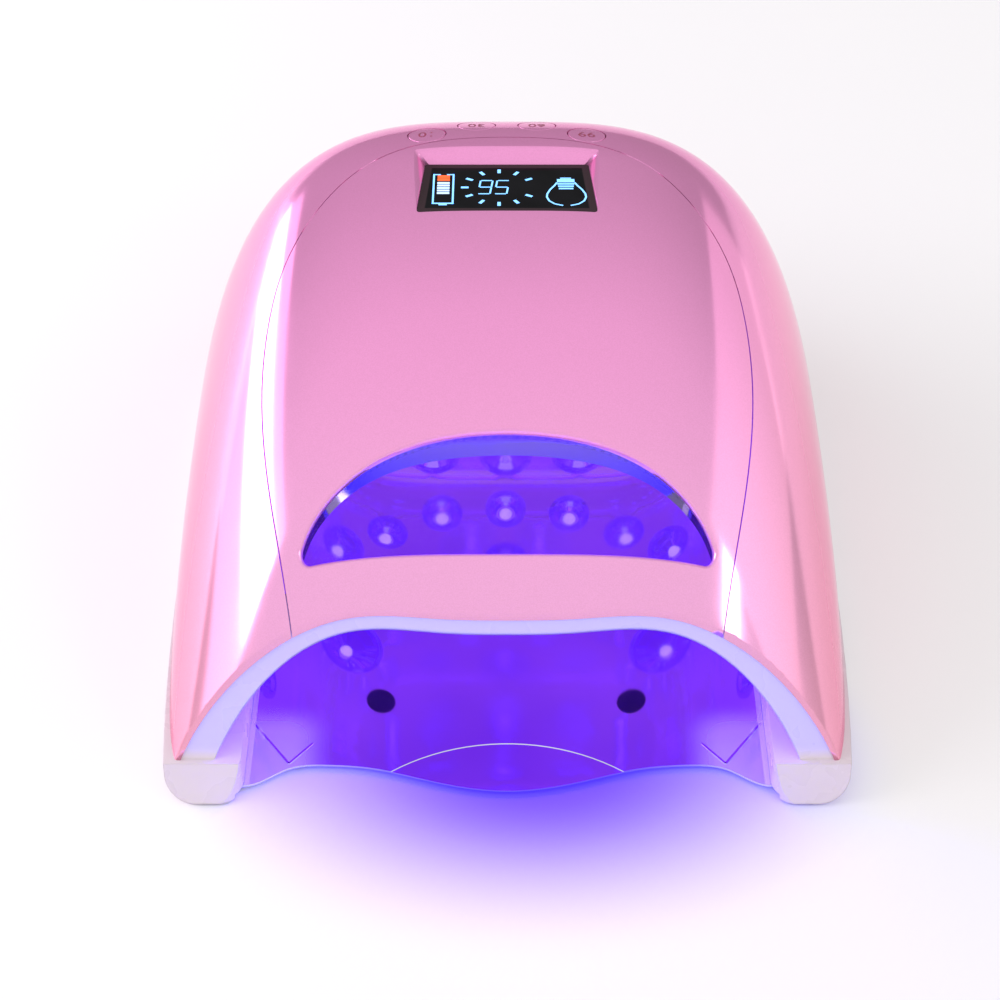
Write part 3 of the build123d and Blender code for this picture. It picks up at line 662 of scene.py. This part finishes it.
# Long softboxes: start, end, width, power in watts and colour.
SOFTBOXES = {
    "softbox_left": ((-1.0, 1.40, 0.0), (-1.0, -0.50, 0.72), 0.26, 7, (0.95, 0.88, 0.96)),
    "softbox_left_tint": ((-1.05, 1.45, -0.02), (-1.05, -0.55, 0.66), 0.62, 6.4, (0.86, 0.68, 0.88)),
    "softbox_right": ((1.0, -0.60, 0.97), (1.0, -1.15, 1.07), 0.12, 1.6, (1, 1, 1)),
    "softbox_right_fill": ((1.05, 1.30, 0.10), (1.05, -0.70, 0.86), 0.70, 2.6, (1.0, 0.90, 0.90)),
}
# The lamp's own light, never seen itself: place, target, size, power and colour.
OWN_LIGHTS = {
    "chamber_glow": ((0, -0.01, 0.070), (0, -0.03, 0), (0.10, 0.11), 0.5, (0.17, 0.04, 1.0)),
    "mouth_glow": ((0, -0.085, 0.050), (0, -0.22, 0), (0.09, 0.02), 0.15, (0.12, 0.05, 1.0)),
}


def add_strip(name, start, end, width, power, colour):
    """A long softbox from start to end, facing the lamp."""
    along = Vector(end) - Vector(start)
    middle = (Vector(start) + Vector(end)) / 2
    out = (LAMP_MIDDLE - middle).normalized()
    side = out.cross(along.normalized()).normalized()
    light = add_light(name, middle, (0, 0, 0), (along.length, width), power, colour)
    axes = Matrix((along.normalized(), -side, -out)).transposed()
    light.rotation_euler = axes.to_euler()


def add_lights():
    studio_world()
    for name, settings in SOFTBOXES.items():
        add_strip(name, *settings)
    for name, settings in OWN_LIGHTS.items():
        light = add_light(name, *settings)
        light.visible_camera = False
        light.visible_glossy = False


CAMERA_TARGET = Vector((-0.0023, -0.0447, 0.055))
CAMERA_DISTANCE = 0.7
CAMERA_ELEVATION = math.radians(42)
CAMERA_SENSOR = 36
CAMERA_LENS = 78.2


def add_camera():
    camera = bpy.data.objects.new("camera", bpy.data.cameras.new("camera"))
    camera.data.sensor_width = CAMERA_SENSOR
    camera.data.lens = CAMERA_LENS
    outward = Vector((0, -math.cos(CAMERA_ELEVATION), math.sin(CAMERA_ELEVATION)))
    camera.location = CAMERA_TARGET + CAMERA_DISTANCE * outward
    camera.rotation_euler = (CAMERA_TARGET - camera.location).to_track_quat("-Z", "Y").to_euler()
    bpy.context.scene.collection.objects.link(camera)
    bpy.context.scene.camera = camera
    bpy.context.scene.view_settings.view_transform = "Standard"


def finish_nodes():
    """Materials of the CAD nodes that stay as they are."""
    paint(satin_white(), "inner_frame")
    paint(liner_chrome(), "reflector")
    # The cups' and the bezel's violet tint paints in the violet light their chrome reflects; the cups' glow
    # is painted light too.
    paint(chrome("cup_chrome", (0.34, 0.20, 0.80), 0.50), "led_cups")
    paint(chrome("bezel_chrome", (0.22, 0.17, 0.38), 0.0), "window_bezel")
    paint(plate_mirror(), "base_plate")
    paint(clear_window(), "window_lens")
    paint(black_glass(), "display_lens")
    paint(glow("led_glow", (0.34, 0.19, 1.0), 1.7), "led_lenses")
    paint(moulded("ceramic_white", (0.80, 0.80, 0.76), 0.5), "led_emitters")
    paint(metal("star_aluminium", (0.78, 0.79, 0.80), 0.35), "led_star_boards")
    paint(moulded("sensor_black", (0.05, 0.015, 0.12), 0.14), "sensor_windows")
    paint(solder_mask(), "sensor_boards", "display_board", "button_board", "main_board")
    paint(moulded("black_moulding", (0.030, 0.030, 0.034)), "display_module", "battery_cradle",
          "board_pillars", "rear_panel", "rocker_housing", "dc_jack")
    paint(moulded("rocker_gloss", (0.022, 0.022, 0.025), 0.22), "power_rocker")
    paint(moulded("grey_rubber", (0.10, 0.10, 0.11), 0.7), "rubber_feet")
    paint(moulded("white_silicone", (0.78, 0.78, 0.78), 0.5), "button_pad")
    paint(moulded("dark_component", (0.06, 0.06, 0.07), 0.4), "tact_switches", "board_components")
    paint(moulded("cell_wrap", (0.05, 0.24, 0.55), 0.25), "battery_cells")
    paint(moulded("ribbon_white", (0.74, 0.74, 0.71), 0.5), "display_ribbon")
    paint(moulded("lead_red", (0.55, 0.03, 0.03), 0.45), "battery_lead")
    paint(metal("nickel", (0.66, 0.64, 0.60), 0.2), "plate_magnets")
    paint(metal("zinc_screw", (0.60, 0.60, 0.62), 0.3), "shell_screws", "board_screws")


add_camera()
add_stage()
add_lights()
finish_nodes()
pink = pearl_pink()
for shell_node in ("front_cover", "outer_shell", "handle_cup"):
    lacquered_copy(shell_node, "housing", pink)
for number in range(1, 5):
    lacquered_copy("button_" + str(number), "button_" + str(number), pink)
display_graphics()
button_prints()
plate_creases()
